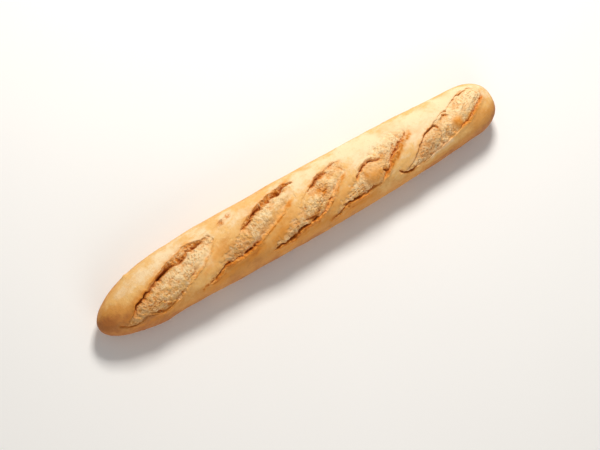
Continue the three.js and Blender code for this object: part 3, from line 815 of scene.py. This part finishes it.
def make_slash(number, slash, material):
    """A strip: stations along the slash, and the guided section across each, laid on the body, with folds,
    mounds, crumb and torn sides added to its height. It is most toasted on its rims, torn sides and folds and
    beside its crevices. Painted shade makes it darkest where it is deep, and darkens its pits, the low parts
    of its torn sides and the sides of its crevices."""
    seed = slash["seed"]
    rows = round(slash_frame(slash)[4] * ROWS_PER_MM)
    along = blend(-SLASH_OVERRUN, 1.0 + SLASH_OVERRUN, np.linspace(0.0, 1.0, rows))
    positions = profile_positions()
    guide_across, guide_height = strip_profile(slash, along)
    across = guided_curve(guide_across, positions).T
    height = guided_curve(guide_height, positions).T
    station = np.repeat(along[:, None], len(positions), 1)
    distance = station * slash_frame(slash)[4]
    walls = span(positions, 6.5, 8.0, 9.5, 11.0) + span(positions, 13.6, 14.8, 15.8, 16.8)
    walls = walls * fade_ends(station, 0.06)
    across = across + 0.9 * walls * noise(np.stack([distance, height, across], -1), 2.6, seed + 33)
    place, angle = slash_place(slash, station, across)
    base = body_point(place, angle)
    normal = body_normal(place, angle)
    inset = strip_inset(slash, place, angle)
    inside = smooth_step(2.0, 4.5, inset)
    fold_height, fold_toast_and_shade = folded(slash, station, across, base)
    toast_and_shade, painted_shade, skin = coloured(place, angle, base)

    # How much each point is crumb, and how much it is torn.
    far_crevice = guide_across[CREVICE_FAR][:, None]
    near_crevice = guide_across[CREVICE_NEAR][:, None]
    ear, face, gap, lip, seam = (
        list_at(slash[key], along)[:, None] for key in ("ear", "face", "gap", "lip", "seam"))
    far_soft = 5.6 - 5.2 * smooth_step(0.0, 1.6, gap)
    near_soft = 7.0 - 6.6 * smooth_step(0.0, 1.6, seam)
    wander = 0.9 * noise(base, 3.0, seed + 95)
    crumb = (smooth_step(-0.4, 1.0, (across - far_crevice) / far_soft + wander)
             * smooth_step(-0.4, 1.0, (near_crevice - across) / near_soft + wander)
             * smooth_step(1.0, 6.0, near_crevice - far_crevice) * (1.0 - skin))
    crumb = np.maximum(crumb, 0.9 * inside * fold_toast_and_shade)
    ground = span(positions, 8.0, 10.4, 14.8, 16.0) * crumb
    torn = span(positions, 4.4, 5.4, 7.2, 8.2) * np.clip(face / 3.5, 0, 1)
    fray = np.clip(0.5 * seam / 2.5 + 0.5 * lip / 1.4, 0, 1)
    frayed = span(positions, 13.6, 14.8, 19.6, 21.2) * fray + 0.8 * inside * fold_toast_and_shade

    texture = crumb_texture(slash, across, distance, base)
    rough = torn_roughness(slash, across, distance, base)
    hem = HEM_SLOPE * HEM * (1.0 - smooth_step(0.0, HEM, inset))
    settled = span(positions, 8.0, 11.0, 14.0, 16.0) * mounded(slash, station, across, base)
    shape = height + inside * (fold_height + settled)
    total = shape + relief(base) + ground * texture + (torn + 0.6 * frayed) * rough - hem
    points = lie_flat(base + normal * total[..., None])

    depth = -shape - 0.5 * ground * texture - 0.6 * (torn + frayed) * rough
    rim_far = bell(positions - 4.2)[None, :] * ear / 2.0
    rim_near = 0.75 * bell((positions - 19.0) / 1.6)[None, :] * lip
    rim_near = rim_near * (0.35 + 0.65 * patches(base, 3.5, seed + 30, -0.5, 0.4))
    # Toast beside the crevices, partly browning and partly painted shade.
    beside_far = bell((across - far_crevice) / 2.4) * np.clip(gap / 3.0, 0.0, 1.0)
    beside_near = 1.5 * bell((across - near_crevice) / 3.2) * np.clip(seam / 2.6, 0.0, 1.0)
    crease_toast_and_shade = (beside_far + beside_near) * (0.3 + 0.7 * patches(base, 2.8, seed + 31, -0.3, 0.5))
    # Painted shade: toast and crevice brown in the crumb's pits and in the low parts of the torn sides.
    pit_shade = ground * smooth_step(0.2, -1.1, texture)
    sunken_shade = smooth_step(0.7, -0.5, rough)
    torn_toast_and_shade = (torn + 0.8 * np.minimum(frayed, 1.0)) * (0.5 + 0.5 * sunken_shade)
    # Painted shade: toast where the strip is deep.
    deep_painted_shade = 0.75 * smooth_step(0.3, 1.8, depth)
    toast_and_shade = np.maximum.reduce(
        [toast_and_shade, rim_far, rim_near, torn_toast_and_shade, deep_painted_shade, crease_toast_and_shade, inside * fold_toast_and_shade, 0.55 * pit_shade])
    # Painted shade: how far crevice brown darkens the strip where it is deep, in pits, low torn parts and
    # beside crevices.
    recess_shade = np.maximum.reduce(
        [0.95 * smooth_step(0.9, 3.6, depth), 0.2 * torn * sunken_shade, 0.15 * pit_shade, 0.6 * crease_toast_and_shade - 0.2])
    attributes = {"bake_and_shade": bake_and_shade_amount(place, angle, base, normal), "crumb": np.maximum(crumb, 0.8 * torn),
                  "toast_and_shade": np.clip(toast_and_shade, 0, 1.5), "recess_shade": np.clip(recess_shade, 0, 1), "painted_shade": painted_shade}
    faces = grid_faces(rows, len(positions), False)[:, ::-1].tolist()
    make_piece(f"slash_{number}", points, faces, attributes, material)


# ---- materials ----

class Nodes:
    """Short calls for building a material's node tree."""

    def __init__(self, name):
        self.material = bpy.data.materials.new(name)
        self.material.use_nodes = True
        self.tree = self.material.node_tree
        self.shader = self.tree.nodes["Principled BSDF"]

    def add(self, kind, inputs=None, **settings):
        """A node with its settings and inputs, where an input is a value or another node's output."""
        node = self.tree.nodes.new("ShaderNode" + kind)
        for key, value in settings.items():
            setattr(node, key, value)
        for key, value in (inputs or {}).items():
            self.feed(node.inputs[key], value)
        return node

    def feed(self, socket, value):
        """Links an output to a socket, or sets the socket's value."""
        if isinstance(value, bpy.types.NodeSocket):
            self.tree.links.new(value, socket)
        else:
            socket.default_value = value

    def attribute(self, name):
        """One of the piece's own numbers."""
        return self.add("Attribute", attribute_name=name).outputs["Fac"]

    def place(self):
        """Object coordinates."""
        return self.add("TexCoord").outputs["Object"]

    def noise(self, size_mm, detail=3.0, roughness=0.55, where=None):
        """Noise of so many millimetres, on object coordinates unless a place is given."""
        where = self.place() if where is None else where
        inputs = {"Vector": where, "Scale": 1.0 / (size_mm * MM), "Detail": detail, "Roughness": roughness}
        return self.add("TexNoise", inputs).outputs["Fac"]

    def streaks(self, size_mm, stretch):
        """Noise drawn out along the slashes."""
        turn = {"Vector": self.place(), "Rotation": (0.0, 0.0, -SLASH_LEAN)}
        draw = {"Vector": self.add("Mapping", turn).outputs["Vector"], "Scale": (1.0 / stretch, 1.0, 1.0)}
        return self.noise(size_mm, where=self.add("Mapping", draw).outputs["Vector"])

    def cells(self, size_mm):
        """Distance to the middle of the nearest cell, with cells of so many millimetres."""
        inputs = {"Vector": self.place(), "Scale": 1.0 / (size_mm * MM), "Smoothness": 0.3}
        return self.add("TexVoronoi", inputs, feature="SMOOTH_F1").outputs["Distance"]

    def math(self, operation, first, second):
        """Arithmetic on two numbers."""
        return self.add("Math", {0: first, 1: second}, operation=operation).outputs[0]

    def times(self, first, second):
        """Product of two numbers."""
        return self.math("MULTIPLY", first, second)

    def plus(self, first, second):
        """Sum of two numbers."""
        return self.math("ADD", first, second)

    def swing(self, value, number, amount):
        """A value plus an amount times how far a number is from a half."""
        return self.plus(value, self.times(self.math("SUBTRACT", number, 0.5), amount))

    def spread(self, value, low, high, to_low=0.0, to_high=1.0):
        """A value's range stretched to another, smoothly and within its limits."""
        inputs = {"Value": value, "From Min": low, "From Max": high, "To Min": to_low, "To Max": to_high}
        return self.add("MapRange", inputs, interpolation_type="SMOOTHSTEP").outputs["Result"]

    def mix(self, part, first, second):
        """Colour between two others."""
        node = self.add("Mix", data_type="RGBA", blend_type="MIX")
        for socket, value in ((node.inputs[0], part), (node.inputs[6], first), (node.inputs[7], second)):
            self.feed(socket, value)
        return node.outputs[2]


def colour(red, green, blue):
    """Linear colour of a screen colour: ((c + 0.055) / 1.055)^2.4 of each part c from 0 to 1."""
    return tuple(((c / 255 + 0.055) / 1.055) ** 2.4 for c in (red, green, blue)) + (1.0,)


FLOUR = colour(247, 220, 176)
STRAW = colour(237, 186, 112)
GOLD = colour(216, 149, 70)
BROWN = colour(180, 110, 50)
CRUMB = colour(255, 228, 180)
CRUMB_SHADE = colour(232, 186, 122)
CRUMB_GOLD = colour(238, 182, 98)
TOAST = colour(228, 144, 40)
TOAST_DARK = colour(200, 114, 32)
# Dark toasted brown, mixed into the strips' deep places as painted shade.
CREVICE_SHADE_BROWN = colour(184, 102, 24)
# Greyish brown painted as shade where the tints darken the bread.
SHADE_GREY_BROWN = colour(172, 132, 84)
AMBER = colour(230, 166, 88)

# How the slashes, and the streaks with them, lean from the loaf's length.
SLASH_LEAN = math.radians(19.0)


def bread_material():
    """Baked crust and torn crumb in one finish, told apart by each piece's own numbers."""
    n = Nodes("baked_bread")
    keys = ("bake_and_shade", "crumb", "toast_and_shade", "recess_shade", "painted_shade")
    bake_and_shade, crumb, toast_and_shade, recess_shade, painted_shade = (n.attribute(key) for key in keys)
    fine = n.noise(3.2, 4, 0.65)
    speck = n.noise(1.1, 2, 0.5)
    streak = n.streaks(5, 7)
    pores = n.cells(2.2)

    # Crust: from flour over straw and gold to brown as it is baked, and darker where painted shade lies on
    # the underside and near side, with mottles, streaks and specks.
    uneven = bake_and_shade
    for number, amount in ((n.noise(16, 4, 0.6), 0.7), (streak, 0.22), (n.noise(6, 3, 0.6), 0.3)):
        uneven = n.swing(uneven, number, amount)
    crust = FLOUR
    for low, high, shade in ((0.0, 0.3, STRAW), (0.3, 0.62, GOLD), (0.62, 1.05, BROWN)):
        crust = n.mix(n.spread(uneven, low, high), crust, shade)
    flour = n.times(n.spread(fine, 0.5, 0.7), n.spread(bake_and_shade, 0.75, 0.2))
    crust = n.mix(n.times(flour, 0.3), crust, FLOUR)
    crust = n.mix(n.times(n.spread(n.noise(26, 3, 0.5), 0.5, 0.72), 0.5), crust, AMBER)
    crust = n.mix(n.times(n.spread(speck, 0.61, 0.76), 0.45), crust, BROWN)

    # Crumb: pale, a darker tone in random patches, and more golden where the crust round it has more bake and
    # painted shade.
    shaded = n.times(n.spread(n.noise(3.8, 4, 0.7), 0.38, 0.66), n.spread(bake_and_shade, 0.0, 0.25, 0.6, 1.0))
    golden = n.times(n.spread(n.noise(11, 3, 0.6), 0.45, 0.7), n.spread(bake_and_shade, 0.0, 0.35, 0.1, 0.7))
    inside = CRUMB
    for part, shade in ((shaded, CRUMB_SHADE), (golden, CRUMB_GOLD),
                        (n.times(n.spread(pores, 0.3, 0.05), 0.35), GOLD), (n.times(bake_and_shade, 0.5), GOLD)):
        inside = n.mix(part, inside, shade)

    bread = n.mix(n.spread(n.swing(crumb, fine, 0.3), 0.1, 0.9), crust, inside)
    # Painted shade: greyish brown where the tints darken the bread.
    bread = n.mix(n.times(painted_shade, n.spread(fine, 0.3, 0.62, 0.6, 1.0)), bread, SHADE_GREY_BROWN)
    # Toast colours; in the strips' deep places, pits, sunken grains and beside creases they are painted
    # shade.
    browned_and_shaded = n.times(toast_and_shade, n.spread(fine, 0.3, 0.62, 0.65, 1.0))
    bread = n.mix(n.math("MINIMUM", browned_and_shaded, 1.0), bread, TOAST)
    bread = n.mix(n.spread(browned_and_shaded, 0.6, 1.3, 0.0, 0.85), bread, TOAST_DARK)
    # Painted shade: crevice brown where the strips are deep or hollowed.
    bread = n.mix(n.times(recess_shade, 0.9), bread, CREVICE_SHADE_BROWN)
    n.feed(n.shader.inputs["Base Color"], bread)
    n.feed(n.shader.inputs["Roughness"], n.spread(n.plus(crumb, fine), 0.3, 1.4, 0.58, 0.85))
    n.shader.inputs["Specular IOR Level"].default_value = 0.3

    # Fine relief: skin and streaks on the crust, and a torn, pored surface on the crumb.
    torn = n.times(n.plus(n.noise(2.4, 5, 0.7), n.times(pores, 0.8)), crumb)
    height = n.times(fine, 0.9)
    for number, amount in ((speck, 0.35), (streak, 0.9), (n.noise(7.5, 3, 0.5), 1.5), (torn, 2.1)):
        height = n.plus(height, n.times(number, amount))
    bump = n.add("Bump", {"Height": height, "Strength": 0.6, "Distance": 0.0009})
    n.feed(n.shader.inputs["Normal"], bump.outputs["Normal"])
    return n.material


def floor_material():
    """Plain pale floor with the faintest unevenness in its tone."""
    n = Nodes("pale_floor")
    tone = n.mix(n.noise(300, 2), colour(250, 250, 250), colour(246, 246, 246))
    n.feed(n.shader.inputs["Base Color"], tone)
    n.shader.inputs["Roughness"].default_value = 0.9
    return n.material


# ---- stage ----

# Picture and focal length in pixels, distance and turns of the camera, where the loaf's middle stands in
# the picture, in pixels right of and above its middle, and the place that the camera and the lamps aim at.
PICTURE_WIDTH = 600
FOCAL_PIXELS = 1850.0
CAMERA_DISTANCE = 1.972
LOAF_TILT_IN_PICTURE = math.radians(29.35)
FAR_END_TURN = math.radians(14.0)
CAMERA_RISE = math.radians(80.0)
MIDDLE_IN_PICTURE = (-0.9, 18.6)
AIM = Vector((0.0, 0.0, 0.025))
FLOOR_HALF_SIZE = 3.0


def camera_axes():
    """Right, up and back of a camera that looks down on the loaf, rolled so that the loaf runs up to the
    right."""
    turn, rise = FAR_END_TURN, CAMERA_RISE
    back = Vector((-math.sin(turn), -math.cos(turn) * math.cos(rise), math.cos(turn) * math.sin(rise)))
    loaf = Vector((1.0, 0.0, 0.0))
    level = (loaf - back * loaf.dot(back)).normalized()
    side = back.cross(level)
    roll = LOAF_TILT_IN_PICTURE
    right = math.cos(roll) * level - math.sin(roll) * side
    up = math.sin(roll) * level + math.cos(roll) * side
    return right, up, back


def facing(right, up, back, place):
    """Matrix of an object with these axes at a place."""
    return Matrix([(right[i], up[i], back[i], place[i]) for i in range(3)] + [(0, 0, 0, 1)])


def make_camera():
    """Camera whose distance and aim put the loaf where it lies in the picture."""
    right, up, back = camera_axes()
    data = bpy.data.cameras.new("camera")
    data.sensor_width = 36.0
    data.lens = FOCAL_PIXELS / PICTURE_WIDTH * data.sensor_width
    data.clip_end = 20.0
    camera = add_object("camera", data)
    scale = CAMERA_DISTANCE / FOCAL_PIXELS
    shift = right * MIDDLE_IN_PICTURE[0] * scale + up * MIDDLE_IN_PICTURE[1] * scale
    camera.matrix_world = facing(right, up, back, AIM - shift + back * CAMERA_DISTANCE)
    bpy.context.scene.camera = camera


def make_light(name, direction, distance, size, power, tint):
    """Square soft light shining at the loaf from so far along right, up and back of the camera."""
    right, up, back = camera_axes()
    away = (right * direction[0] + up * direction[1] + back * direction[2]).normalized()
    data = bpy.data.lights.new(name, "AREA")
    data.size = size
    data.energy = power
    data.color = tint
    light = add_object(name, data)
    turn = away.to_track_quat("Z", "Y").to_matrix().to_4x4()
    light.matrix_world = Matrix.Translation(AIM + away * distance) @ turn


def make_stage():
    """Floor, soft world light, two soft lamps, and colours shown as they are."""
    half = FLOOR_HALF_SIZE
    corners = [(-half, -half, 0), (half, -half, 0), (half, half, 0), (-half, half, 0)]
    mesh = bpy.data.meshes.new("floor")
    mesh.from_pydata(corners, [], [(0, 1, 2, 3)])
    mesh.materials.append(floor_material())
    floor = add_object("floor", mesh)
    world = bpy.data.worlds.new("studio")
    world.use_nodes = True
    background = world.node_tree.nodes["Background"]
    background.inputs["Color"].default_value = (1.0, 0.98, 0.95, 1.0)
    background.inputs["Strength"].default_value = 0.27
    bpy.context.scene.world = world
    bpy.context.scene.view_settings.view_transform = "Standard"
    make_light("key", (0.08, 0.82, 0.56), 1.5, 0.4, 21.0, (1.0, 0.955, 0.885))
    make_light("fill", (0.3, -0.75, 0.6), 1.8, 1.2, 9.0, (1.0, 0.97, 0.93))


bread = bread_material()
make_crust(bread)
for number, slash in enumerate(SLASHES, 1):
    make_slash(number, slash, bread)
make_stage()
make_camera()
